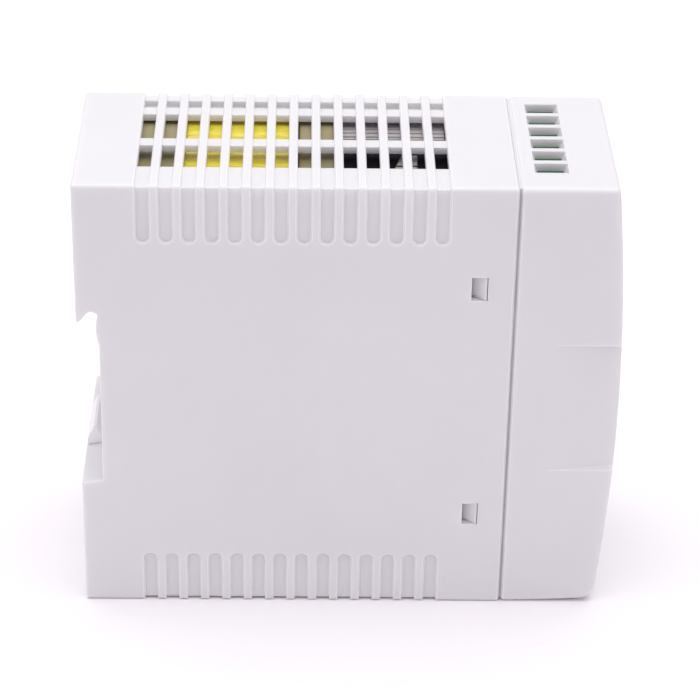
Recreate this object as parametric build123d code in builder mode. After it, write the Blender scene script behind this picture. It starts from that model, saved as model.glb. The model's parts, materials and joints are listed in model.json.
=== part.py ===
from build123d import *
import math
import os

os.makedirs("parts", exist_ok=True)

# A DIN rail power supply. +Z is up, X runs along the rail, and the front faces -Y.
# The origin is the middle of the bottom face of the bounding box.

# Driving dimensions, in millimetres
WIDTH = 40.0
HEIGHT = 90.0
DEPTH = 101.0
WALL = 1.9
SPLIT_DEPTH = 80.3  # rear housing ends here, measured forward from the back face
SPLIT_GAP = 0.5
BOW_RADIUS = 407.0  # the front face bows forward about the X direction
BOW_CENTRE_Z = 44.0
FRONT_FOOT = 2.8  # height of the rounded corner at the bottom of the front
FRONT_FOOT_RISE = 0.55

CHANNELS = 14
CHANNEL_FIRST = 12.67
CHANNEL_PITCH = 4.16
CHANNEL_WIDTH = 2.48
CHANNEL_DEPTH = 0.55
CHANNEL_RIM = 0.26  # bevel along both edges of every channel
CHANNEL_TOP_END = 78.5
CHANNEL_BOTTOM_END = 10.8
VENT_ROWS = [(-11.1, -2.2), (0.75, 11.2), (14.1, 17.2)]

SNAP_DEPTHS = (72.4, 75.4)
SNAP_HEIGHTS = [(18.0, 22.8), (67.0, 71.9)]

RAIL_TOP = 64.1  # top of the pocket that takes the upper edge of a 35 mm rail
RAIL_SEAT = 29.0
LATCH_HALF_WIDTH = 6.1
LATCH_WING_HALF_WIDTH = 7.6
SPRING_WIRE_RADIUS = 0.22
SPRING_RADIUS = 1.3
SPRING_DEPTH = 2.4
SPRING_LOW = 8.6
SPRING_HIGH = 19.0

POLE_PITCH = 5.08
OUTPUT_POLES = [1.3 + (i - 2.5) * POLE_PITCH for i in range(6)]
INPUT_POLES = [(i - 1) * 1.5 * POLE_PITCH for i in range(3)]
FUNNEL_AT = 86.55  # depth of the middle of the wire funnels
FUNNEL_DEPTH = 1.62
FUNNEL_HALF_WIDTH = 1.92
SCREW_AXIS_DROP = 7.2  # from the top or bottom face to the clamp screws
SCREW_RADIUS = 1.2
RUNNING_GAP = 0.05

BOARD_X = 14.8  # component side of the main board, which faces left
BOARD_THICKNESS = 1.6
FRONT_BOARD_DEPTH = 81.8  # component side of the front board

HALF = WIDTH / 2
INNER_HALF = HALF - WALL
BACK = DEPTH / 2


def y_at(depth):
    """Row Y of a plane lying this far forward of the back face."""
    return BACK - depth


def bow(z, inset=0.0):
    """Row Y of the bowed front face at height z, moved back by inset."""
    return y_at(DEPTH - inset - (z - BOW_CENTRE_Z) ** 2 / (2 * BOW_RADIUS))


def block(x, depth, z, mode=Mode.ADD):
    """Add or cut a box, given its low and high X, depth from the back face and Z."""
    y = (y_at(depth[1]), y_at(depth[0]))
    with Locations(((x[0] + x[1]) / 2, (y[0] + y[1]) / 2, (z[0] + z[1]) / 2)):
        Box(x[1] - x[0], y[1] - y[0], z[1] - z[0], mode=mode)


def rod(x, depth, z, direction, radius, length, mode=Mode.ADD):
    """Add or cut a cylinder that starts at a point and runs along direction."""
    ends = (Align.CENTER, Align.CENTER, Align.MIN)
    with Locations(Plane(origin=(x, y_at(depth), z), z_dir=direction)):
        Cylinder(radius, length, align=ends, mode=mode)


def save(piece, name):
    piece.part.label = name
    export_step(piece.part, f"parts/{name}.step")


RIGHT = (1, 0, 0)
LEFT = (-1, 0, 0)
FORWARD = (0, -1, 0)
REARWARD = (0, 1, 0)

channel_depths = [CHANNEL_FIRST + i * CHANNEL_PITCH for i in range(CHANNELS)]

# ---- Rear housing: a ribbed shell, open at the front, with the rail notch in its back ----

with BuildPart() as rear_housing:
    block((-HALF, HALF), (0, SPLIT_DEPTH), (0, HEIGHT))
    fillet(rear_housing.edges().filter_by(Axis.Y), 0.7)
    chamfer(rear_housing.faces().sort_by(Axis.Y)[0].edges(), 0.35)
    fillet(rear_housing.faces().sort_by(Axis.Y)[-1].edges(), 0.5)

    # Rail notch, right across the back
    with BuildSketch(Plane.YZ.offset(-HALF - 1)):
        with BuildLine():
            Line((y_at(-1), 61.5), (y_at(0.05), 61.85))
            Line((y_at(0.05), 61.85), (y_at(0.9), 62.25))
            Line((y_at(0.9), 62.25), (y_at(1.85), 63.5))
            ThreePointArc((y_at(1.85), 63.5), (y_at(2.8), RAIL_TOP), (y_at(4.05), 63.3))
            ThreePointArc((y_at(4.05), 63.3), (y_at(3.68), 60.2), (y_at(4.2), 57.0))
            Line((y_at(4.2), 57.0), (y_at(4.0), 27.5))
            Line((y_at(4.0), 27.5), (y_at(0.1), 26.85))
            Line((y_at(0.1), 26.85), (y_at(-1), 26.85))
            Line((y_at(-1), 26.85), (y_at(-1), 61.5))
        make_face()
    extrude(amount=WIDTH + 2, mode=Mode.SUBTRACT)

    # Inside
    with BuildSketch(Plane.YZ.offset(-INNER_HALF)):
        with BuildLine():
            Polyline(
                (y_at(SPLIT_DEPTH + 1), WALL),
                (y_at(SPLIT_DEPTH + 1), HEIGHT - WALL),
                (y_at(WALL), HEIGHT - WALL),
                (y_at(WALL), 67.5),
                (y_at(6.2), 66.0),
                (y_at(6.2), WALL),
                close=True,
            )
        make_face()
    extrude(amount=2 * INNER_HALF, mode=Mode.SUBTRACT)
    for side in (-1, 1):
        pocket = sorted((side * (LATCH_WING_HALF_WIDTH + 2.2), side * INNER_HALF))
        block(pocket, (WALL, 6.5), (WALL, 25.0), Mode.SUBTRACT)

    # Cooling channels around the top and bottom edges, with bevelled rims
    channel_cuts = ((0, CHANNEL_DEPTH, 0), (CHANNEL_RIM, CHANNEL_RIM, 45))
    for side in (-1, 1):
        side_face = Plane(origin=(side * HALF, 0, 0), x_dir=REARWARD, z_dir=(-side, 0, 0))
        for grow, amount, taper in channel_cuts:
            with BuildSketch(side_face):
                for depth in channel_depths:
                    for level in (CHANNEL_TOP_END + 10, CHANNEL_BOTTOM_END - 10):
                        with Locations((y_at(depth), -side * level)):
                            SlotOverall(20 + 2 * grow, CHANNEL_WIDTH + 2 * grow, rotation=90)
            extrude(amount=amount, taper=taper, mode=Mode.SUBTRACT)
    for level, inward in ((0, 1), (HEIGHT, -1)):
        end_face = Plane(origin=(0, 0, level), x_dir=RIGHT, z_dir=(0, 0, inward))
        for grow, amount, taper in channel_cuts:
            with BuildSketch(end_face):
                for depth in channel_depths:
                    with Locations((0, inward * y_at(depth))):
                        Rectangle(WIDTH + 2, CHANNEL_WIDTH + 2 * grow)
            extrude(amount=amount, taper=taper, mode=Mode.SUBTRACT)
        with BuildSketch(end_face):
            for depth in channel_depths:
                for low, high in VENT_ROWS:
                    with Locations(((low + high) / 2, inward * y_at(depth))):
                        Rectangle(high - low, CHANNEL_WIDTH)
        extrude(amount=WALL + 0.1, mode=Mode.SUBTRACT)

    # Windows for the front cover's four snap hooks
    for low, high in SNAP_HEIGHTS:
        block((-HALF - 1, HALF + 1), SNAP_DEPTHS, (low, high), Mode.SUBTRACT)

    # Guides for the main board
    for z in ((WALL - 0.1, WALL + 1.6), (HEIGHT - WALL - 1.6, HEIGHT - WALL + 0.1)):
        block((BOARD_X - 1.2, BOARD_X - 0.1), (7, 70), z)
        block((BOARD_X + BOARD_THICKNESS + 0.1, BOARD_X + BOARD_THICKNESS + 1.2), (7, 70), z)

    # Channel that the rail latch slides in, with grooves for its wings and a spring post
    channel_half = LATCH_HALF_WIDTH + 0.2
    groove_half = LATCH_WING_HALF_WIDTH + 0.2
    block((-channel_half, channel_half), (-1, 4.2), (-1, 28), Mode.SUBTRACT)
    block((-groove_half, groove_half), (2.6, 4.2), (-1, 24.7), Mode.SUBTRACT)
    block((-1.7, 1.7), (1.0, 4.7), (7.2, SPRING_LOW))
save(rear_housing, "rear_housing")

# ---- Front cover: a bowed cap that plugs into the rear housing ----

cover_start = SPLIT_DEPTH + SPLIT_GAP
foot_top = FRONT_FOOT + FRONT_FOOT_RISE
foot_depth = BACK - bow(foot_top) - FRONT_FOOT


def front_outline(inset, start):
    """Side outline of the bowed cap, moved in by inset, from a start depth forward."""
    top = HEIGHT - inset
    foot_end = (bow(foot_top, inset), foot_top)
    foot_start = (y_at(foot_depth), inset + FRONT_FOOT_RISE)
    bottom = TangentArc((y_at(start), inset), foot_start, tangent=(-1, 0))
    TangentArc(foot_start, foot_end, tangent=bottom % 1)
    ThreePointArc(foot_end, (bow(BOW_CENTRE_Z, inset), BOW_CENTRE_Z), (bow(top, inset), top))
    Line((bow(top, inset), top), (y_at(start), top))
    Line((y_at(start), top), (y_at(start), inset))


# The sides taper in towards the front between two creases
waist_low, waist_high, waist_start, waist_inset = 30.4, 57.8, 88.0, 0.75
with BuildPart() as waist_cut:
    with BuildSketch(Plane.XZ.offset(-y_at(waist_start))):
        with BuildLine():
            Polyline(
                (-HALF - 1, waist_low - 1.2),
                (-HALF + waist_inset, waist_low + 0.9),
                (-HALF + waist_inset, waist_high - 0.5),
                (-HALF - 1, waist_high + 0.7),
                close=True,
            )
        make_face()
    extrude(amount=DEPTH - waist_start + 1)
    with BuildSketch(Plane.XY.offset(waist_low - 2)):
        with BuildLine():
            Polyline(
                (-HALF, y_at(waist_start)),
                (-HALF - 2, y_at(waist_start)),
                (-HALF - 2, y_at(DEPTH + 1)),
                (-HALF + waist_inset, y_at(DEPTH + 1)),
                (-HALF + waist_inset, y_at(DEPTH)),
                close=True,
            )
        make_face()
    extrude(amount=waist_high - waist_low + 4, mode=Mode.INTERSECT)

with BuildPart() as front_cover:
    with BuildSketch(Plane.YZ.offset(-HALF)):
        with BuildLine():
            front_outline(0, cover_start)
        make_face()
    extrude(amount=WIDTH)
    side_faces = front_cover.faces().sort_by(Axis.X)
    rims = side_faces[0].edges() + side_faces[-1].edges()
    rims = [edge for edge in rims if edge.center().Y < y_at(cover_start + 1)]
    brow = front_cover.faces().sort_by(Axis.Z)[-1].edges().sort_by(Axis.Y)[0]
    fillet(rims + [brow], 1.0)
    chamfer(front_cover.faces().sort_by(Axis.Y)[-1].edges(), 0.35)
    add(waist_cut.part, mode=Mode.SUBTRACT)
    add(waist_cut.part.mirror(Plane.YZ), mode=Mode.SUBTRACT)

    # Inside
    with BuildSketch(Plane.YZ.offset(-INNER_HALF)):
        with BuildLine():
            front_outline(WALL, cover_start - 1)
        make_face()
    extrude(amount=2 * INNER_HALF, mode=Mode.SUBTRACT)

    # Lip that closes the parting gap, and the locating ring that plugs into the rear housing
    ring_half = INNER_HALF - 0.15
    ring_edge = WALL + 0.15
    lip_span = (SPLIT_DEPTH + 0.03, cover_start + 1.4)
    block((-HALF + 0.95, HALF - 0.95), lip_span, (0.3, HEIGHT - 0.3))
    block((-ring_half, ring_half), (cover_start - 2.6, cover_start), (ring_edge, HEIGHT - ring_edge))
    ring_hole = ring_half - 0.8
    hole_edge = ring_edge + 0.8
    ring_span = (cover_start - 3, cover_start + 1.5)
    block((-ring_hole, ring_hole), ring_span, (hole_edge, HEIGHT - hole_edge), Mode.SUBTRACT)

    # Snap tongues with ramped hooks
    for side in (-1, 1):
        for low, high in SNAP_HEIGHTS:
            tongue = sorted((side * (ring_half - 1.2), side * ring_half))
            block(tongue, (SNAP_DEPTHS[0] - 1.4, cover_start + 1.0), (low - 0.6, high + 0.6))
            with BuildSketch(Plane.XY.offset(low + 0.1)):
                with BuildLine():
                    Polyline(
                        (side * ring_half, y_at(SNAP_DEPTHS[0] + 0.1)),
                        (side * (HALF - 0.1), y_at(SNAP_DEPTHS[1] - 0.4)),
                        (side * (HALF - 0.1), y_at(SNAP_DEPTHS[1] - 0.15)),
                        (side * ring_half, y_at(SNAP_DEPTHS[1] - 0.15)),
                        (side * (ring_half - 0.5), y_at(SNAP_DEPTHS[1] - 0.15)),
                        (side * (ring_half - 0.5), y_at(SNAP_DEPTHS[0] + 0.1)),
                        close=True,
                    )
                make_face()
            extrude(amount=high - low - 0.2)

    # Funnels for the wires: six in the top face and three in the bottom face
    for level, inward, poles in ((HEIGHT, -1, OUTPUT_POLES), (0, 1, INPUT_POLES)):
        floor_z = level + inward * FUNNEL_DEPTH
        seat = (poles[0] - 2.6, poles[-1] + 2.6)
        block(seat, (82.2, 91.4), sorted((floor_z, level + inward * 2.6)), Mode.SUBTRACT)
        for x in poles:
            with BuildSketch(Plane.YZ.offset(x - FUNNEL_HALF_WIDTH)):
                with BuildLine():
                    Polyline(
                        (y_at(FUNNEL_AT + 3.12), level - inward * 0.01),
                        (y_at(FUNNEL_AT - 3.12), level - inward * 0.01),
                        (y_at(FUNNEL_AT - 2.4), floor_z + inward * 0.05),
                        (y_at(FUNNEL_AT + 2.4), floor_z + inward * 0.05),
                        close=True,
                    )
                make_face()
            extrude(amount=2 * FUNNEL_HALF_WIDTH, mode=Mode.SUBTRACT)

        # Holes in the front for the clamp screws
        z = abs(level - SCREW_AXIS_DROP)
        for x in poles:
            rod(x, 95.5, z, FORWARD, 2.0, 8, Mode.SUBTRACT)

    # Holes for the light pipe and the trimmer, and a shallow seat for the front label
    rod(-9, 95.5, 67, FORWARD, 1.5, 8, Mode.SUBTRACT)
    rod(9, 95.5, 67, FORWARD, 2.05, 8, Mode.SUBTRACT)
    label_low, label_high = 18.0, 60.0
    with BuildSketch(Plane.YZ.offset(-15.7)):
        with BuildLine():
            low_end = (bow(label_low - 0.2, 0.35), label_low - 0.2)
            high_end = (bow(label_high + 0.2, 0.35), label_high + 0.2)
            ThreePointArc(low_end, (bow(BOW_CENTRE_Z, 0.35), BOW_CENTRE_Z), high_end)
            Line(high_end, (y_at(DEPTH + 2), label_high + 0.2))
            Line((y_at(DEPTH + 2), label_high + 0.2), (y_at(DEPTH + 2), label_low - 0.2))
            Line((y_at(DEPTH + 2), label_low - 0.2), low_end)
        make_face()
    extrude(amount=31.4, mode=Mode.SUBTRACT)
save(front_cover, "front_cover")

with BuildPart() as front_label:
    with BuildSketch(Plane.YZ.offset(-15.5)):
        with BuildLine():
            back_low = (bow(label_low, 0.35), label_low)
            back_high = (bow(label_high, 0.35), label_high)
            front_low = (bow(label_low, 0.1), label_low)
            front_high = (bow(label_high, 0.1), label_high)
            ThreePointArc(back_low, (bow(BOW_CENTRE_Z, 0.35), BOW_CENTRE_Z), back_high)
            Line(back_high, front_high)
            ThreePointArc(front_high, (bow(BOW_CENTRE_Z, 0.1), BOW_CENTRE_Z), front_low)
            Line(front_low, back_low)
        make_face()
    extrude(amount=31.0)
save(front_label, "front_label")

# ---- Rail latch and its spring ----

with BuildPart() as din_latch:
    with BuildSketch(Plane.YZ.offset(-LATCH_HALF_WIDTH)):
        with BuildLine():
            Polyline(
                (y_at(0.1), 0.6),
                (y_at(4.0), 0.6),
                (y_at(4.0), RAIL_SEAT - 0.1),
                (y_at(2.8), RAIL_SEAT - 0.1),
                (y_at(1.9), 30.8),
                (y_at(1.4), 31.0),
                (y_at(0.1), 28.0),
                close=True,
            )
        make_face()
    extrude(amount=2 * LATCH_HALF_WIDTH)
    block((-LATCH_WING_HALF_WIDTH, LATCH_WING_HALF_WIDTH), (2.8, 4.0), (2.0, 24.6))
    block((-1.95, 1.95), (-1, 5), (7.1, SPRING_HIGH), Mode.SUBTRACT)
    block((-2.8, 2.8), (-1, 5), (2.4, 4.2), Mode.SUBTRACT)
save(din_latch, "din_latch")

spring_turns = 7
with BuildPart() as latch_spring:
    spring_start = (0, y_at(SPRING_DEPTH), SPRING_LOW + SPRING_WIRE_RADIUS + 0.02)
    spring_height = SPRING_HIGH - SPRING_LOW - 2 * SPRING_WIRE_RADIUS - 0.04
    with BuildLine():
        coil = Helix(spring_height / spring_turns, spring_height, SPRING_RADIUS, spring_start)
    with BuildSketch(Plane(origin=coil @ 0, z_dir=coil % 0)):
        Circle(SPRING_WIRE_RADIUS)
    sweep(is_frenet=True)
save(latch_spring, "latch_spring")

# ---- Terminals: each pole has a captive screw that pulls a cage up against a contact bar ----


def terminal_zone(level, near, far):
    """Low and high Z of a zone, given by its distances in from the top or bottom face."""
    return sorted((abs(level - near), abs(level - far)))


def make_terminal_block(name, poles, level, half_length):
    middle = (poles[0] + poles[-1]) / 2
    with BuildPart() as shell:
        across = (middle - half_length, middle + half_length)
        block(across, (82.3, 96.0), terminal_zone(level, 2.7, 14.4))
        pad = (poles[0] - 2.5, poles[-1] + 2.5)
        block(pad, (82.3, 91.3), terminal_zone(level, FUNNEL_DEPTH + 0.08, 2.8))
        for x in poles:
            block((x - 1.45, x + 1.45), (84.1, 88.9), terminal_zone(level, 1, 4), Mode.SUBTRACT)
            block((x - 2.05, x + 2.05), (83.8, 94.0), terminal_zone(level, 3.6, 10.6), Mode.SUBTRACT)
            block((x - 0.5, x + 0.5), (80, 90.0), terminal_zone(level, 10.4, 12.0), Mode.SUBTRACT)
            z = abs(level - SCREW_AXIS_DROP)
            rod(x, 93.0, z, FORWARD, 1.4, 4, Mode.SUBTRACT)
            rod(x, 94.7, z, FORWARD, 1.85, 3, Mode.SUBTRACT)
    save(shell, name)


def make_contacts(name, poles, level):
    with BuildPart() as contacts:
        for x in poles:
            block((x - 1.15, x + 1.15), (88.9, 89.6), terminal_zone(level, 3.7, 10.6))
            block((x - 0.4, x + 0.4), (79.6, 89.6), terminal_zone(level, 10.6, 11.4))
    save(contacts, name)


def make_clamp(name, x, level):
    with BuildPart() as clamp:
        block((x - 1.9, x + 1.9), (84.0, 91.6), terminal_zone(level, 4.4, 10.0))
        block((x - 1.3, x + 1.3), (84.6, 90.6), terminal_zone(level, 4, 10.4), Mode.SUBTRACT)
        z = abs(level - SCREW_AXIS_DROP)
        rod(x, 90, z, FORWARD, SCREW_RADIUS + RUNNING_GAP, 3, Mode.SUBTRACT)
    save(clamp, name)


def make_screw(name, x, level):
    z = abs(level - SCREW_AXIS_DROP)
    with BuildPart() as screw:
        rod(x, 89.9, z, FORWARD, SCREW_RADIUS, 5.5)
        rod(x, 94.8, z, FORWARD, 1.75, 1.1)
        block((x - 2, x + 2), (95.3, 96.2), (z - 0.3, z + 0.3), Mode.SUBTRACT)
        block((x - 0.3, x + 0.3), (95.3, 96.2), (z - 1.1, z + 1.1), Mode.SUBTRACT)
    save(screw, name)


make_terminal_block("output_terminal_block", OUTPUT_POLES, HEIGHT, 15.7)
make_terminal_block("input_terminal_block", INPUT_POLES, 0, 11.6)
make_contacts("output_contacts", OUTPUT_POLES, HEIGHT)
make_contacts("input_contacts", INPUT_POLES, 0)
for side_name, poles, level in (("output", OUTPUT_POLES, HEIGHT), ("input", INPUT_POLES, 0)):
    for number, x in enumerate(poles, start=1):
        make_clamp(f"{side_name}_clamp_{number}", x, level)
        make_screw(f"{side_name}_screw_{number}", x, level)

# ---- Front board with the status light and the output trimmer ----

header_heights = [40 + 2.54 * i for i in range(8)]
header_x = BOARD_X - 3.2


def standing(near, far):
    """Low and high X of a zone, given by its distances from the main board's component side."""
    return (BOARD_X - far, BOARD_X - near)


with BuildPart() as front_board:
    block((-16.2, 16.2), (FRONT_BOARD_DEPTH - BOARD_THICKNESS, FRONT_BOARD_DEPTH), (3.4, 86.6))
    for poles, level in ((OUTPUT_POLES, HEIGHT), (INPUT_POLES, 0)):
        for x in poles:
            block((x - 0.45, x + 0.45), (80, 82), terminal_zone(level, 10.55, 11.45), Mode.SUBTRACT)
    for z in header_heights:
        block((header_x - 0.35, header_x + 0.35), (80, 82), (z - 0.35, z + 0.35), Mode.SUBTRACT)
save(front_board, "front_board")

with BuildPart() as header_pins:
    for z in header_heights:
        block((header_x - 0.3, BOARD_X + 2.0), (76, 76.6), (z - 0.3, z + 0.3))
        block((header_x - 0.3, header_x + 0.3), (76, 82.6), (z - 0.3, z + 0.3))
    block(standing(0, 3.9), (77.2, 79.6), (header_heights[0] - 1.3, header_heights[-1] + 1.3))
save(header_pins, "header_pins")

with BuildPart() as status_led:
    rod(-9, FRONT_BOARD_DEPTH, 67, FORWARD, 1.9, 0.9)
    rod(-9, FRONT_BOARD_DEPTH + 0.9, 67, FORWARD, 1.5, 2.4)
    fillet(status_led.faces().sort_by(Axis.Y)[0].edges(), 1.2)
save(status_led, "status_led")

with BuildPart() as light_pipe:
    rod(-9, 85.5, 67, FORWARD, 1.45, BACK - bow(67) - 85.6)
    rod(-9, 95.0, 67, FORWARD, 2.4, 1.5)
save(light_pipe, "light_pipe")

with BuildPart() as trimmer_body:
    block((5.6, 12.4), (FRONT_BOARD_DEPTH, 88.0), (63.6, 70.4))
    rod(9, 84.0, 67, FORWARD, 2.5, 5, Mode.SUBTRACT)
save(trimmer_body, "trimmer_body")

with BuildPart() as trimmer_rotor:
    rod(9, 84.1, 67, FORWARD, 2.5 - RUNNING_GAP, 3.6)
    rod(9, 87.0, 67, FORWARD, 1.85, 12.6)
    block((6, 12), (98.8, 100), (66.65, 67.35), Mode.SUBTRACT)
save(trimmer_rotor, "trimmer_rotor")

# ---- Main board, parallel to the right side ----

TRANSFORMER = (29.5, 73.2)  # depth and height of the winding's axis
transformer_pin_depths = [22.0 + 3.75 * i for i in range(5)]
transformer_pin_heights = [TRANSFORMER[1] - 10.5, TRANSFORMER[1] + 10.5]

with BuildPart() as main_board:
    block((BOARD_X, BOARD_X + BOARD_THICKNESS), (7.6, 79.8), (2.2, HEIGHT - 2.2))
    for corner in ((2, 4), (HEIGHT - 4, HEIGHT - 2)):
        block((BOARD_X - 1, BOARD_X + 3), (77.2, 80), corner, Mode.SUBTRACT)
    for z in header_heights:
        block((BOARD_X - 1, BOARD_X + 3), (75.95, 76.65), (z - 0.35, z + 0.35), Mode.SUBTRACT)
    for depth in transformer_pin_depths:
        for z in transformer_pin_heights:
            rod(BOARD_X - 1, depth, z, RIGHT, 0.5, 4, Mode.SUBTRACT)
save(main_board, "main_board")

with BuildPart() as insulation_sheet:
    block((INNER_HALF - 0.8, INNER_HALF - 0.4), (9, 70), (3.8, HEIGHT - 3.8))
save(insulation_sheet, "insulation_sheet")

# ---- Transformer: its winding axis stands square to the main board ----


def rounded_tube(x_span, outer, inner, corner):
    """A rounded rectangular tube around the transformer's axis."""
    start = Plane(
        origin=(x_span[0], y_at(TRANSFORMER[0]), TRANSFORMER[1]),
        x_dir=REARWARD,
        z_dir=RIGHT,
    )
    with BuildPart() as tube:
        with BuildSketch(start):
            RectangleRounded(outer[0], outer[1], corner)
            RectangleRounded(inner[0], inner[1], 0.3, mode=Mode.SUBTRACT)
        extrude(amount=x_span[1] - x_span[0])
    return tube.part


CORE = standing(1.2, 27.4)
CORE_WINDOW = standing(4.6, 24.0)
LEG = (6.6, 15.0)  # section of the core's middle leg, depth by height
LEG_HOLE = (LEG[0] + 0.3, LEG[1] + 0.3)
SPOOL = (8.4, 16.8)

with BuildPart() as transformer_core:
    core_z = (TRANSFORMER[1] - LEG[1] / 2, TRANSFORMER[1] + LEG[1] / 2)
    leg_depth = (TRANSFORMER[0] - LEG[0] / 2, TRANSFORMER[0] + LEG[0] / 2)
    block(CORE, (15.0, 44.0), core_z)
    block(CORE_WINDOW, (18.8, 40.2), (core_z[0] - 1, core_z[1] + 1), Mode.SUBTRACT)
    block(CORE_WINDOW, leg_depth, core_z)
    fillet(transformer_core.edges().filter_by(Axis.Z).group_by(Axis.X)[0], 0.8)
save(transformer_core, "transformer_core")

with BuildPart() as transformer_bobbin:
    add(rounded_tube(standing(4.7, 23.9), SPOOL, LEG_HOLE, 1.2))
    add(rounded_tube(standing(4.7, 5.5), (21.0, 24.0), LEG_HOLE, 3.0))
    add(rounded_tube(standing(23.1, 23.9), (21.0, 24.0), LEG_HOLE, 3.0))
    for side in (-1, 1):
        rail = sorted((TRANSFORMER[1] + side * 7.6, TRANSFORMER[1] + side * 11.9))
        block(standing(1.0, 5.2), (19.5, 39.5), rail)
save(transformer_bobbin, "transformer_bobbin")

with BuildPart() as transformer_winding:
    bore = (SPOOL[0] + 0.1, SPOOL[1] + 0.1)
    add(rounded_tube(standing(5.6, 23.0), (20.4, 23.4), bore, 4.0))
save(transformer_winding, "transformer_winding")

with BuildPart() as transformer_pins:
    for depth in transformer_pin_depths:
        for z in transformer_pin_heights:
            rod(BOARD_X - 1.0, depth, z, RIGHT, 0.4, 3.2)
save(transformer_pins, "transformer_pins")

# ---- Capacitors ----

CAPACITOR_X = 1.5
CAPACITOR_Z = 76.5
CAPACITOR_DEPTHS = (48.4, 68.2)
CAPACITOR_RADIUS = 10.0
SLEEVE = 0.2

with BuildPart() as capacitor_sleeve:
    length = CAPACITOR_DEPTHS[1] - CAPACITOR_DEPTHS[0]
    rod(CAPACITOR_X, CAPACITOR_DEPTHS[0], CAPACITOR_Z, FORWARD, CAPACITOR_RADIUS, length)
    bore_radius = CAPACITOR_RADIUS - SLEEVE
    rod(CAPACITOR_X, CAPACITOR_DEPTHS[0] - 1, CAPACITOR_Z, FORWARD, bore_radius, 30, Mode.SUBTRACT)
save(capacitor_sleeve, "capacitor_sleeve")

with BuildPart() as capacitor_can:
    rod(CAPACITOR_X, CAPACITOR_DEPTHS[0], CAPACITOR_Z, FORWARD, bore_radius, length - 0.2)
    fillet(capacitor_can.faces().sort_by(Axis.Y)[0].edges(), 0.8)
    # Two leads, bent over to the board
    for z in (CAPACITOR_Z - 3.8, CAPACITOR_Z + 3.8):
        rod(CAPACITOR_X, CAPACITOR_DEPTHS[0] + 0.1, z, REARWARD, 0.4, 2.1)
        rod(CAPACITOR_X - 0.4, CAPACITOR_DEPTHS[0] - 1.6, z, RIGHT, 0.4, BOARD_X - CAPACITOR_X + 0.4)
save(capacitor_can, "capacitor_can")

with BuildPart() as output_capacitors:
    for z in (64.0, 75.4):
        rod(BOARD_X, 73.0, z, LEFT, 4.0, 20)
    fillet(output_capacitors.faces().filter_by(Axis.X).group_by(Axis.X)[0].edges(), 0.6)
save(output_capacitors, "output_capacitors")

with BuildPart() as interference_capacitor:
    block(standing(0, 12), (52, 60), (5, 20))
    fillet(interference_capacitor.edges().filter_by(Axis.X), 0.6)
save(interference_capacitor, "interference_capacitor")


def make_discs(name, discs, radius, thickness):
    """Disc components that stand on the board on two short legs."""
    with BuildPart() as group:
        for depth, z in discs:
            rod(BOARD_X - radius - 2.5, depth, z, FORWARD, radius, thickness)
            for leg in (-2.5, 2.5):
                leg_length = radius + 3.0 - math.sqrt(radius**2 - leg**2)
                rod(BOARD_X, depth + thickness / 2, z + leg, LEFT, 0.4, leg_length)
        rims = group.edges().filter_by(GeomType.CIRCLE)
        fillet([edge for edge in rims if edge.radius > radius - 0.1], thickness * 0.3)
    save(group, name)


make_discs("safety_capacitors", [(46.5, 38.0), (52.5, 38.0)], 4.0, 3.0)
make_discs("thermistor", [(63.0, 24.0)], 5.0, 4.0)
make_discs("varistor", [(71.5, 24.0)], 5.0, 4.0)

# ---- Heatsinks and the power devices screwed to them ----

PRIMARY_SINK = (50.0, 52.0)
SECONDARY_SINK = (62.0, 64.0)

with BuildPart() as heatsink_primary:
    block(standing(0, 27.4), (12, 44), PRIMARY_SINK)
    for depth in range(12, 44, 4):
        block(standing(3, 27.4), (depth, depth + 1.2), (PRIMARY_SINK[0] - 3.5, PRIMARY_SINK[0] + 0.1))
save(heatsink_primary, "heatsink_primary")

with BuildPart() as heatsink_secondary:
    block(standing(0, 20.8), (48, 68), SECONDARY_SINK)
    block(standing(1.4, 2.6), (48, 68), (SECONDARY_SINK[0] + 1, 86.5))
    block(standing(1.4, 8.4), (48, 68), (86.0, 86.9))
    for groove in range(4):
        near = 2.0 + 1.7 * groove
        block(standing(near, near + 0.7), (47, 69), (86.6, 87), Mode.SUBTRACT)
save(heatsink_secondary, "heatsink_secondary")


def make_power_device(name, depth, face_z, side):
    """A three-legged power device on the upper (side 1) or lower (side -1) face of a heatsink."""

    def layer(near, far):
        return sorted((face_z + side * near, face_z + side * far))

    with BuildPart() as device:
        block(standing(8.6, 17.8), (depth - 5, depth + 5), layer(0, 4.4))
        block(standing(17.6, 23.8), (depth - 5, depth + 5), layer(0, 1.3))
        rod(BOARD_X - 20.8, depth, face_z, (0, 0, side), 1.6, 4, Mode.SUBTRACT)
        for leg in (-2.54, 0, 2.54):
            block(standing(0, 8.7), (depth + leg - 0.4, depth + leg + 0.4), layer(2.0, 2.6))
    save(device, name)


POWER_DEVICES = {
    "power_transistor": (26, PRIMARY_SINK[1], 1),
    "output_rectifier": (58, SECONDARY_SINK[0], -1),
}
for name, (depth, face_z, side) in POWER_DEVICES.items():
    make_power_device(name, depth, face_z, side)

with BuildPart() as heatsink_screws:
    for depth, face_z, side in POWER_DEVICES.values():
        rod(BOARD_X - 20.8, depth, face_z, (0, 0, side), 1.5, 1.4)
        rod(BOARD_X - 20.8, depth, face_z + side * 1.3, (0, 0, side), 2.8, 2.0)
        slot = sorted((face_z + side * 2.6, face_z + side * 4))
        block(standing(17, 25), (depth - 0.4, depth + 0.4), slot, Mode.SUBTRACT)
save(heatsink_screws, "heatsink_screws")

# ---- Mains filter and output inductor ----

with BuildPart() as choke_core:
    block(standing(1, 18.4), (30, 46), (8, 22))
    block(standing(4.8, 14.6), (33.6, 42.4), (7, 23), Mode.SUBTRACT)
save(choke_core, "choke_core")

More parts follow.
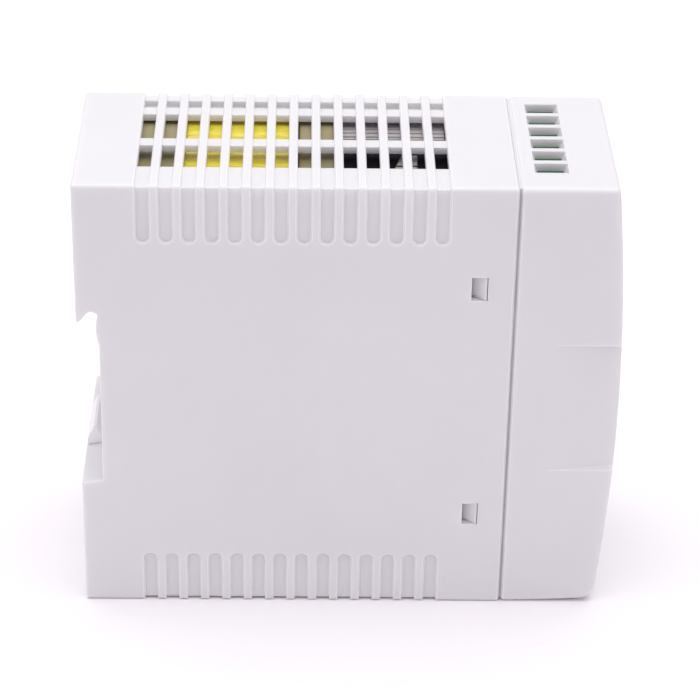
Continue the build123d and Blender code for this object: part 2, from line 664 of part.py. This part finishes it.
with BuildPart() as choke_windings:
    for near in (28.4, 40.8):
        block(standing(5.2, 14.2), (near, near + 6.6), (6.4, 23.6))
        block(standing(2, 18), (near + 1.5, near + 5.3), (7.9, 22.1), Mode.SUBTRACT)
save(choke_windings, "choke_windings")

TOROID = (67.0, 40.0)
TOROID_RADIUS = 7.4
TOROID_BORE = 3.8
with BuildPart() as toroid_core:
    rod(BOARD_X - 0.8, TOROID[0], TOROID[1], LEFT, TOROID_RADIUS, 7)
    rod(BOARD_X, TOROID[0], TOROID[1], LEFT, TOROID_BORE, 9, Mode.SUBTRACT)
    fillet(toroid_core.edges().filter_by(GeomType.CIRCLE), 0.8)
save(toroid_core, "toroid_core")

with BuildPart() as toroid_winding:
    turns = 16
    for turn in range(turns):
        angle = 2 * math.pi * turn / turns
        around = Vector(0, math.cos(angle), math.sin(angle))
        middle = (TOROID_RADIUS + TOROID_BORE) / 2
        centre = Vector(BOARD_X - 4.3, y_at(TOROID[0]), TOROID[1]) + around * middle
        turn_plane = Plane(origin=centre, x_dir=RIGHT, z_dir=Vector(1, 0, 0).cross(around))
        with BuildSketch(turn_plane):
            RectangleRounded(8.6, 5.2, 1.4)
            RectangleRounded(7.04, 3.64, 0.6, mode=Mode.SUBTRACT)
        extrude(amount=0.38, both=True)
save(toroid_winding, "toroid_winding")

with BuildPart() as fuse:
    rod(BOARD_X, 70, 12, LEFT, 4.2, 8)
    fillet(fuse.faces().sort_by(Axis.X)[0].edges(), 0.6)
save(fuse, "fuse")

# ---- Rectifier, feedback, control and signalling ----

with BuildPart() as bridge_rectifier:
    block(standing(3, 16.4), (12, 26), (15, 18.6))
    for leg in (14, 17.5, 20.5, 24):
        block(standing(0, 3.1), (leg - 0.5, leg + 0.5), (16.2, 17.0))
save(bridge_rectifier, "bridge_rectifier")

with BuildPart() as optocouplers:
    for depth in (31, 38):
        block(standing(0.6, 4.0), (depth - 2.4, depth + 2.4), (32.6, 39.0))
        for pin in (-1.27, 1.27):
            for z in ((31.6, 32.7), (38.9, 40.0)):
                block(standing(0, 2.0), (depth + pin - 0.3, depth + pin + 0.3), z)
save(optocouplers, "optocouplers")

with BuildPart() as controller_chip:
    block(standing(0.3, 3.6), (14, 24), (31, 37.4))
    for pin in range(4):
        near = 15.0 + 2.54 * pin
        for z in ((29.9, 31.1), (37.3, 38.5)):
            block(standing(0, 1.6), (near - 0.3, near + 0.3), z)
save(controller_chip, "controller_chip")

with BuildPart() as signal_relay:
    block(standing(0, 9.4), (48, 56), (24.5, 31.0))
    fillet(signal_relay.edges().filter_by(Axis.X), 0.4)
save(signal_relay, "signal_relay")
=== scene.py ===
"""Looks of the DIN rail power supply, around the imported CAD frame. Blender units are metres."""
import json
import math

import bpy
from mathutils import Matrix, Vector, noise


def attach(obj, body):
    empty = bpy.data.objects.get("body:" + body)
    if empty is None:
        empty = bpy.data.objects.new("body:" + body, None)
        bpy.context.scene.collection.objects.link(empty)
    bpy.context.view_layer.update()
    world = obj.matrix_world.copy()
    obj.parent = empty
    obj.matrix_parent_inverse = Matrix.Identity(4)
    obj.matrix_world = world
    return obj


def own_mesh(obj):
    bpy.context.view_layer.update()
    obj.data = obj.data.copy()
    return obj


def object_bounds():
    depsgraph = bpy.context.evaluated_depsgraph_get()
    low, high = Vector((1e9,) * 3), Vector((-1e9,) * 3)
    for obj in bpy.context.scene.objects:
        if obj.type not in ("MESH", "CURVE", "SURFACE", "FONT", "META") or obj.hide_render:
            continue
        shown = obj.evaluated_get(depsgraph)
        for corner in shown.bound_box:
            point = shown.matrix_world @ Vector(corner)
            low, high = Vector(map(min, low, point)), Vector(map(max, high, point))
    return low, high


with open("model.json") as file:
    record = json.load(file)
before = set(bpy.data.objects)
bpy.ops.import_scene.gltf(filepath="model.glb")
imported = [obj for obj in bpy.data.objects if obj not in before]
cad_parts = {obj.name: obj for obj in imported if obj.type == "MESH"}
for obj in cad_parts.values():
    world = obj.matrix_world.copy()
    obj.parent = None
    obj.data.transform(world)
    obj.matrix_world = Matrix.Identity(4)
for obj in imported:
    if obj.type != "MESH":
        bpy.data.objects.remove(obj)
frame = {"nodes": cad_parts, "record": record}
cad_box = [list(corner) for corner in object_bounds()]
nodes = frame["nodes"]

MM = 0.001
LOW = Vector(cad_box[0])
HIGH = Vector(cad_box[1])
CENTRE = (LOW + HIGH) / 2
CASE_DEPTH = 101.0
SUBSURFACE_WEIGHT = 0.55
# reach of the painted highlight along the edges
RIM_HIGHLIGHT_REACH = 0.24 * MM


# ---- Shader helpers ----


class Shader:
    """A Principled material with short ways to add noise, bump and colour."""

    def __init__(self, name, colour, roughness=0.5, **sockets):
        self.material = bpy.data.materials.new(name)
        self.material.use_nodes = True
        self.tree = self.material.node_tree
        self.bsdf = self.tree.nodes["Principled BSDF"]
        self.bsdf.inputs["Base Color"].default_value = (*colour, 1)
        self.bsdf.inputs["Roughness"].default_value = roughness
        for socket, value in sockets.items():
            self.bsdf.inputs[socket.replace("_", " ")].default_value = value
        self.coordinates = self.node("ShaderNodeTexCoord").outputs["Object"]

    def node(self, kind, **settings):
        made = self.tree.nodes.new(kind)
        for key, value in settings.items():
            setattr(made, key, value)
        return made

    def link(self, source, target):
        self.tree.links.new(source, target)

    def noise(self, scale, detail=2.0, roughness=0.5, stretch=(1, 1, 1), distortion=0.0):
        """Noise with a number of cells per metre."""
        mapping = self.node("ShaderNodeMapping")
        mapping.inputs["Scale"].default_value = stretch
        self.link(self.coordinates, mapping.inputs["Vector"])
        made = self.node("ShaderNodeTexNoise")
        made.inputs["Scale"].default_value = scale
        made.inputs["Detail"].default_value = detail
        made.inputs["Roughness"].default_value = roughness
        made.inputs["Distortion"].default_value = distortion
        self.link(mapping.outputs["Vector"], made.inputs["Vector"])
        return made.outputs["Fac"]

    def wave(self, scale, direction, distortion=0.0, detail=0.0):
        made = self.node("ShaderNodeTexWave", bands_direction=direction)
        made.inputs["Scale"].default_value = scale
        made.inputs["Distortion"].default_value = distortion
        made.inputs["Detail"].default_value = detail
        self.link(self.coordinates, made.inputs["Vector"])
        return made.outputs["Fac"]

    def ramp(self, source, low, high, start=0.3, end=0.7):
        """Colours from low to high as source goes from start to end."""
        made = self.node("ShaderNodeValToRGB")
        made.color_ramp.elements[0].position = start
        made.color_ramp.elements[0].color = (*low, 1)
        made.color_ramp.elements[1].position = end
        made.color_ramp.elements[1].color = (*high, 1)
        self.link(source, made.inputs["Fac"])
        return made.outputs["Color"]

    def spread(self, source, low, high):
        """Numbers from low to high as source goes from 0 to 1."""
        made = self.node("ShaderNodeMapRange")
        made.inputs["To Min"].default_value = low
        made.inputs["To Max"].default_value = high
        self.link(source, made.inputs["Value"])
        return made.outputs["Result"]

    def painted_rim_highlights(self, colour, highlight_colour, reach):
        """A colour socket with a painted highlight: it turns paler, and lets less light in, within a reach
        of each edge.
        """
        bevel = self.node("ShaderNodeBevel", samples=6)
        bevel.inputs["Radius"].default_value = reach
        geometry = self.node("ShaderNodeNewGeometry")
        across = self.node("ShaderNodeVectorMath", operation="DOT_PRODUCT")
        self.link(bevel.outputs["Normal"], across.inputs[0])
        self.link(geometry.outputs["Normal"], across.inputs[1])
        # mask of the painted highlight: near 1 at edges, 0 on flat faces
        highlight_mask = self.node("ShaderNodeMapRange")
        highlight_mask.inputs["From Min"].default_value = 0.995
        highlight_mask.inputs["From Max"].default_value = 0.93
        self.link(across.outputs["Value"], highlight_mask.inputs["Value"])
        self.set("Subsurface Weight", self.spread(highlight_mask.outputs["Result"], SUBSURFACE_WEIGHT, 0))
        mix = self.node("ShaderNodeMix", data_type="RGBA")
        self.link(highlight_mask.outputs["Result"], mix.inputs[0])
        self.link(colour, mix.inputs[6])
        mix.inputs[7].default_value = (*highlight_colour, 1)
        return mix.outputs[2]

    def bump(self, source, height, strength=1.0, rounding=0.0):
        """Relief of a height in metres, over edges rounded by a radius in metres."""
        made = self.node("ShaderNodeBump")
        made.inputs["Distance"].default_value = height
        made.inputs["Strength"].default_value = strength
        self.link(source, made.inputs["Height"])
        if rounding:
            bevel = self.node("ShaderNodeBevel", samples=6)
            bevel.inputs["Radius"].default_value = rounding
            self.link(bevel.outputs["Normal"], made.inputs["Normal"])
        self.link(made.outputs["Normal"], self.bsdf.inputs["Normal"])

    def set(self, socket, source):
        self.link(source, self.bsdf.inputs[socket])


def moulded(
    name, colour, dark, roughness, grain=2600.0, relief=0.02 * MM, rounding=0.15 * MM, depth=0.0, rim_highlight=None
):
    """Moulded plastic: a fine spark-eroded grain, faint flow marks and softened edges, with a painted
    highlight along the edges when a rim colour is given.
    """
    shader = Shader(name, colour, roughness)
    if depth:
        shader.bsdf.inputs["Subsurface Weight"].default_value = SUBSURFACE_WEIGHT
        shader.bsdf.inputs["Subsurface Radius"].default_value = (1.0, 0.92, 0.97)
        shader.bsdf.inputs["Subsurface Scale"].default_value = depth
    tint = shader.noise(35, 4, 0.6)
    body = shader.ramp(tint, dark, colour, 0.3, 0.65)
    # painted highlight along the edges when a rim colour is given
    shader.set("Base Color", shader.painted_rim_highlights(body, rim_highlight, RIM_HIGHLIGHT_REACH) if rim_highlight else body)
    fine = shader.noise(grain, 3, 0.6)
    shader.set("Roughness", shader.spread(fine, roughness - 0.07, roughness + 0.09))
    shader.bump(fine, relief, 1.0, rounding)
    return shader.material


def metal(name, colour, dark, roughness, stretch=(1, 1, 1), scale=900.0, relief=0.006 * MM, shine=1.0):
    """Plated or drawn metal with fine marks along one direction."""
    shader = Shader(name, colour, roughness, Metallic=shine)
    marks = shader.noise(scale, 4, 0.65, stretch)
    stain = shader.noise(140, 3, 0.55)
    shader.set("Base Color", shader.ramp(stain, dark, colour, 0.32, 0.62))
    shader.set("Roughness", shader.spread(marks, roughness - 0.1, roughness + 0.14))
    shader.bump(marks, relief, 1.0, 0.06 * MM)
    return shader.material


def taped(name, colour, dark, roughness):
    """Glossy wound tape: overlapping turns with small wrinkles."""
    shader = Shader(name, colour, roughness, Coat_Weight=0.5, Coat_Roughness=0.12)
    bands = shader.wave(130, "X", 1.0, 2.0)
    creases = shader.noise(230, 4, 0.6, (1, 0.35, 1), 1.0)
    shader.set("Base Color", shader.ramp(bands, dark, colour, 0.12, 0.55))
    shader.set("Roughness", shader.spread(creases, roughness - 0.08, roughness + 0.15))
    shader.bump(creases, 0.12 * MM)
    return shader.material


def laminate(name, colour, dark):
    """Circuit board: weave of the glass cloth under the lacquer, with paler tracks."""
    shader = Shader(name, colour, 0.35, Coat_Weight=0.3, Coat_Roughness=0.2)
    weave = shader.wave(900, "Y", 0.4)
    patches = shader.noise(160, 2, 0.4)
    shader.set("Base Color", shader.ramp(patches, dark, colour, 0.46, 0.52))
    shader.bump(weave, 0.01 * MM)
    return shader.material


def dipped(name, colour, dark, roughness=0.3, gloss=0.5):
    """Dipped or shrink-wrapped skin with a wavy gloss."""
    shader = Shader(name, colour, roughness, Specular_IOR_Level=gloss)
    waves = shader.noise(180, 3, 0.5)
    shader.set("Base Color", shader.ramp(waves, dark, colour, 0.35, 0.65))
    shader.set("Roughness", shader.spread(waves, roughness - 0.08, roughness + 0.12))
    shader.bump(shader.noise(500, 2, 0.5), 0.03 * MM, 1.0, 0.2 * MM)
    return shader.material


def wound_wire(name, colour, dark):
    """Enamelled wire: close parallel turns."""
    shader = Shader(name, colour, 0.28, Metallic=0.9, Coat_Weight=0.6, Coat_Roughness=0.1)
    turns = shader.wave(700, "X")
    shader.set("Base Color", shader.ramp(turns, dark, colour, 0.05, 0.6))
    shader.bump(turns, 0.15 * MM)
    return shader.material


def clear(name, colour, roughness=0.08, clarity=0.85):
    """Clear or milky resin."""
    shader = Shader(name, colour, roughness, IOR=1.49, Transmission_Weight=clarity)
    haze = shader.noise(300, 3, 0.5)
    shader.set("Roughness", shader.spread(haze, roughness, roughness + 0.12))
    shader.bump(haze, 0.01 * MM, 1.0, 0.1 * MM)
    return shader.material


MATERIALS = {
    "housing": moulded(
        "case_plastic", (0.765, 0.765, 0.780), (0.748, 0.748, 0.763), 0.46,
        # rim colour: painted highlight along the case edges
        depth=2.0 * MM, rim_highlight=(1.0, 0.99, 1.0),
    ),
    "latch": moulded("latch_plastic", (0.955, 0.945, 0.96), (0.93, 0.92, 0.94), 0.42),
    "label": moulded("label_film", (0.60, 0.61, 0.63), (0.57, 0.58, 0.60), 0.3, 1400, 0.006 * MM),
    "terminal_plastic": moulded("terminal_plastic", (0.035, 0.20, 0.075), (0.03, 0.17, 0.06), 0.38),
    "black_plastic": moulded("package_plastic", (0.022, 0.022, 0.025), (0.015, 0.015, 0.017), 0.5),
    "bobbin": moulded("bobbin_plastic", (0.035, 0.033, 0.03), (0.02, 0.02, 0.02), 0.45),
    "trimmer_white": moulded("trimmer_plastic", (0.80, 0.79, 0.75), (0.74, 0.73, 0.70), 0.4),
    "trimmer_blue": moulded("trimmer_case", (0.03, 0.11, 0.42), (0.02, 0.08, 0.34), 0.3),
    "grey_box": moulded("box_capacitor", (0.33, 0.33, 0.31), (0.29, 0.29, 0.27), 0.32),
    "insulation": moulded("insulation_film", (0.42, 0.37, 0.215), (0.36, 0.315, 0.18), 0.4),
    "ferrite": moulded("ferrite", (0.27, 0.245, 0.15), (0.21, 0.19, 0.12), 0.62, 1500, 0.05 * MM),
    "toroid_yellow": moulded("core_coating", (0.62, 0.52, 0.10), (0.52, 0.44, 0.08), 0.5),
    "tinned_copper": metal("tin_plate", (0.72, 0.70, 0.65), (0.60, 0.58, 0.53), 0.32),
    "nickel": metal("nickel_plate", (0.78, 0.76, 0.71), (0.66, 0.64, 0.60), 0.2),
    "spring_steel": metal("spring_steel", (0.60, 0.60, 0.61), (0.45, 0.45, 0.46), 0.25),
    "aluminium": metal("aluminium", (0.66, 0.62, 0.63), (0.56, 0.53, 0.54), 0.5, (0.15, 1, 1), shine=0.55),
    "copper_wire": wound_wire("enamelled_wire", (0.72, 0.30, 0.10), (0.25, 0.08, 0.03)),
    "circuit_board": laminate("board_laminate", (0.62, 0.57, 0.34), (0.50, 0.46, 0.26)),
    "yellow_tape": taped("winding_tape", (0.96, 0.85, 0.09), (0.84, 0.70, 0.06), 0.3),
    "black_sleeve": dipped("capacitor_sleeve", (0.016, 0.014, 0.018), (0.011, 0.010, 0.013), 0.5, 0.12),
    "blue_ceramic": dipped("blue_dip", (0.04, 0.16, 0.42), (0.03, 0.12, 0.34)),
    "green_ceramic": dipped("green_dip", (0.05, 0.12, 0.07), (0.03, 0.09, 0.05)),
    "led_resin": clear("light_resin", (0.35, 0.80, 0.38), 0.12),
    "light_pipe": clear("pipe_acrylic", (0.80, 0.92, 0.82), 0.12, 0.35),
}


def assign_materials():
    """Gives each CAD node the material of its record slot."""
    slot_of = {entry["node"]: entry["material_slot"] for entry in frame["record"]["subparts"]}
    for name, node in nodes.items():
        node.data.materials.clear()
        node.data.materials.append(MATERIALS[slot_of[name]])


# ---- Pieces the CAD leaves out ----


def world_row(x, depth, z):
    """A point from millimetres: X, depth forward of the back face, and Z."""
    return Vector((x * MM, HIGH.y - depth * MM, LOW.z + z * MM))


def grid_piece(name, points, across, slot):
    """A smooth sheet from rows of points, each row holding `across` points."""
    rows = len(points) // across
    faces = []
    for row in range(rows - 1):
        for column in range(across - 1):
            first = row * across + column
            faces.append((first, first + 1, first + across + 1, first + across))
    mesh = bpy.data.meshes.new(name)
    mesh.from_pydata(points, [], faces)
    mesh.shade_smooth()
    piece = bpy.data.objects.new(name, mesh)
    bpy.context.scene.collection.objects.link(piece)
    mesh.materials.append(MATERIALS[slot])
    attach(piece, "case")
    return piece


def thicken(piece, thickness):
    """Gives a sheet a thickness in millimetres."""
    skin = piece.modifiers.new("thickness", "SOLIDIFY")
    skin.thickness = thickness * MM


def along(path, steps):
    """Evenly spaced points on a polyline of (x, z) pairs."""
    lengths = [math.dist(path[i], path[i + 1]) for i in range(len(path) - 1)]
    total = sum(lengths)
    places = []
    for step in range(steps):
        left = total * step / (steps - 1)
        leg = 0
        while leg < len(lengths) - 1 and left > lengths[leg]:
            left -= lengths[leg]
            leg += 1
        share = min(left / lengths[leg], 1)
        start, end = path[leg], path[leg + 1]
        places.append((start[0] + (end[0] - start[0]) * share, start[1] + (end[1] - start[1]) * share))
    return places


def make_transformer_tape():
    """Wrinkled tape laid over the winding and down the outside of the core."""
    path = [
        (-12.95, 67.0), (-12.95, 82.0), (-9.6, 86.4), (5.5, 86.5), (8.6, 87.0), (14.2, 87.4), (14.4, 80.0)
    ]
    middle = Vector((0.5, 74.0))
    steps, across = 220, 60
    points = []
    for place in along(path, steps):
        for column in range(across):
            depth = 19.6 + 19.8 * column / (across - 1)
            crease = noise.noise(Vector((place[0] * 0.55 + place[1] * 0.35, depth * 0.16, 3.0)))
            ripple = noise.noise(Vector((place[0] * 1.7, depth * 0.5, place[1] * 1.2)))
            lift = -0.25 * abs(crease) + 0.09 * ripple
            outward = (Vector(place) - middle).normalized()
            moved = Vector(place) + outward * lift
            points.append(world_row(moved.x, depth, moved.y))
    tape = grid_piece("transformer_tape", points, across, "yellow_tape")
    thicken(tape, 0.06)


def make_insulation_flaps():
    """Thin insulating sheets beside the transformer, dipping from the far wall to the near one."""
    for number, (near, far) in enumerate(((9.5, 18.4), (40.8, 47.4))):
        steps, across = 60, 14
        points = []
        for step in range(steps):
            x = -17.6 + 32.2 * step / (steps - 1)
            for column in range(across):
                depth = near + (far - near) * column / (across - 1)
                sag = 0.2 * noise.noise(Vector((x * 0.12, depth * 0.1, 7.0 + number)))
                dip = 3.0 * ((14.6 - x) / 32.2) ** 2
                points.append(world_row(x, depth, 87.3 - dip + sag))
        flap = grid_piece(f"insulation_flap_{number + 1}", points, across, "insulation")
        thicken(flap, 0.25)


def squash_latch_spring():
    """Gives the latch spring a mesh of its own."""
    spring = nodes["latch_spring"]
    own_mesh(spring)


def make_label_print():
    """Plain printed rules and blank fields on the front label: no words and no marks."""
    bars = [
        (-14.0, 14.0, 56.2, 57.6),
        (-14.0, 14.0, 39.2, 39.4),
        (-14.0, 14.0, 20.2, 20.4),
        (-0.1, 0.1, 20.4, 39.2),
    ]
    for row in range(4):
        bars.append((-13.0, -3.0 - 1.6 * (row % 3), 35.6 - 3.6 * row, 36.3 - 3.6 * row))
        bars.append((2.0, 12.6 - 2.1 * (row % 2), 35.6 - 3.6 * row, 36.3 - 3.6 * row))
    below_crown, crown_z, twice_radius = 0.06, 44.0, 814.0
    points, faces = [], []
    for left, right, low, high in bars:
        rows = 2 + int((high - low) / 0.8)
        for row in range(rows):
            z = low + (high - low) * row / (rows - 1)
            depth = CASE_DEPTH - below_crown - (z - crown_z) ** 2 / twice_radius
            first = len(points)
            points += [world_row(left, depth, z), world_row(right, depth, z)]
            if row:
                faces.append((first - 2, first - 1, first + 1, first))
    mesh = bpy.data.meshes.new("label_print")
    mesh.from_pydata(points, [], faces)
    piece = bpy.data.objects.new("label_print", mesh)
    bpy.context.scene.collection.objects.link(piece)
    mesh.materials.append(MATERIALS["grey_box"])
    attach(piece, "case")
    thicken(piece, 0.03)


def make_capacitor_mark():
    """Pale polarity mark printed on the black sleeve."""
    radius, middle_x, middle_z = 10.05, 1.5, 76.5
    first_angle, whole_angle = 96, 30
    for number, (start, end) in enumerate(((96, 113), (114.2, 126))):
        steps, across = 30, 24
        points = []
        for step in range(steps):
            share = step / (steps - 1)
            angle = math.radians(start + (end - start) * share)
            left = -0.2 - 2.0 * (math.degrees(angle) - first_angle) / whole_angle
            for column in range(across):
                depth = 60.0 + left + (2.7 - left) * column / (across - 1)
                points.append(world_row(
                    middle_x + radius * math.cos(angle), depth, middle_z + radius * math.sin(angle)
                ))
        mark = grid_piece(f"capacitor_mark_{number + 1}", points, across, "trimmer_white")
        thicken(mark, 0.02)


# ---- Stage, light and camera ----


def make_floor():
    reach = 3.0
    mesh = bpy.data.meshes.new("floor")
    corners = [(-reach, -reach, 0), (reach, -reach, 0), (reach, reach, 0), (-reach, reach, 0)]
    mesh.from_pydata(corners, [], [(0, 1, 2, 3)])
    floor = bpy.data.objects.new("floor", mesh)
    floor.location = (0, 0, LOW.z - 0.05 * MM)
    bpy.context.scene.collection.objects.link(floor)
    paper = Shader("studio_paper", (0.985, 0.966, 0.985), 0.9)
    paper.bump(paper.noise(400, 2, 0.5), 0.05 * MM)
    mesh.materials.append(paper.material)


def area_light(name, place, size, power, colour=(1, 1, 1)):
    data = bpy.data.lights.new(name, "AREA")
    data.shape = "RECTANGLE"
    data.size, data.size_y = size
    data.energy = power
    data.color = colour
    lamp = bpy.data.objects.new(name, data)
    lamp.location = place
    aim = CENTRE - Vector(place)
    lamp.rotation_euler = aim.to_track_quat("-Z", "Y").to_euler()
    bpy.context.scene.collection.objects.link(lamp)


def make_light():
    world = bpy.data.worlds.new("studio")
    world.use_nodes = True
    background = world.node_tree.nodes["Background"]
    background.inputs["Color"].default_value = (1.0, 0.89, 1.0, 1)
    background.inputs["Strength"].default_value = 0.47
    bpy.context.scene.world = world
    area_light("overhead", (0.03, 0.0, 0.9), (1.1, 1.1), 8.2, (0.965, 1.0, 0.965))
    area_light("front_fill", (-0.3, -0.9, 0.3), (0.5, 0.5), 0.9, (1.0, 0.9, 1.0))
    area_light("rear_fill", (-0.3, 0.9, 0.3), (0.5, 0.5), 1.1, (1.0, 0.9, 1.0))


def make_camera():
    """The camera looks along the rail at the left side, from a little above."""
    elevation = math.radians(30.121)
    azimuth = math.radians(-1.24)
    roll = math.radians(1.055)
    distance = 0.51726
    target = CENTRE + Vector((0, -0.35, -0.07)) * MM
    forward = Vector((
        math.cos(elevation) * math.cos(azimuth),
        math.cos(elevation) * math.sin(azimuth),
        -math.sin(elevation),
    ))
    level = forward.cross(Vector((0, 0, 1))).normalized()
    upright = level.cross(forward)
    right = level * math.cos(roll) + upright * math.sin(roll)
    up = upright * math.cos(roll) - level * math.sin(roll)
    data = bpy.data.cameras.new("camera")
    data.lens = 137.67
    data.sensor_width = 36.0
    data.clip_start = 0.01
    camera = bpy.data.objects.new("camera", data)
    place = Matrix((right, up, -forward)).transposed().to_4x4()
    place.translation = target - forward * distance
    camera.matrix_world = place
    bpy.context.scene.collection.objects.link(camera)
    bpy.context.scene.camera = camera


assign_materials()
make_transformer_tape()
make_insulation_flaps()
make_capacitor_mark()
make_label_print()
squash_latch_spring()
make_floor()
make_light()
make_camera()
bpy.context.scene.view_settings.view_transform = "Standard"
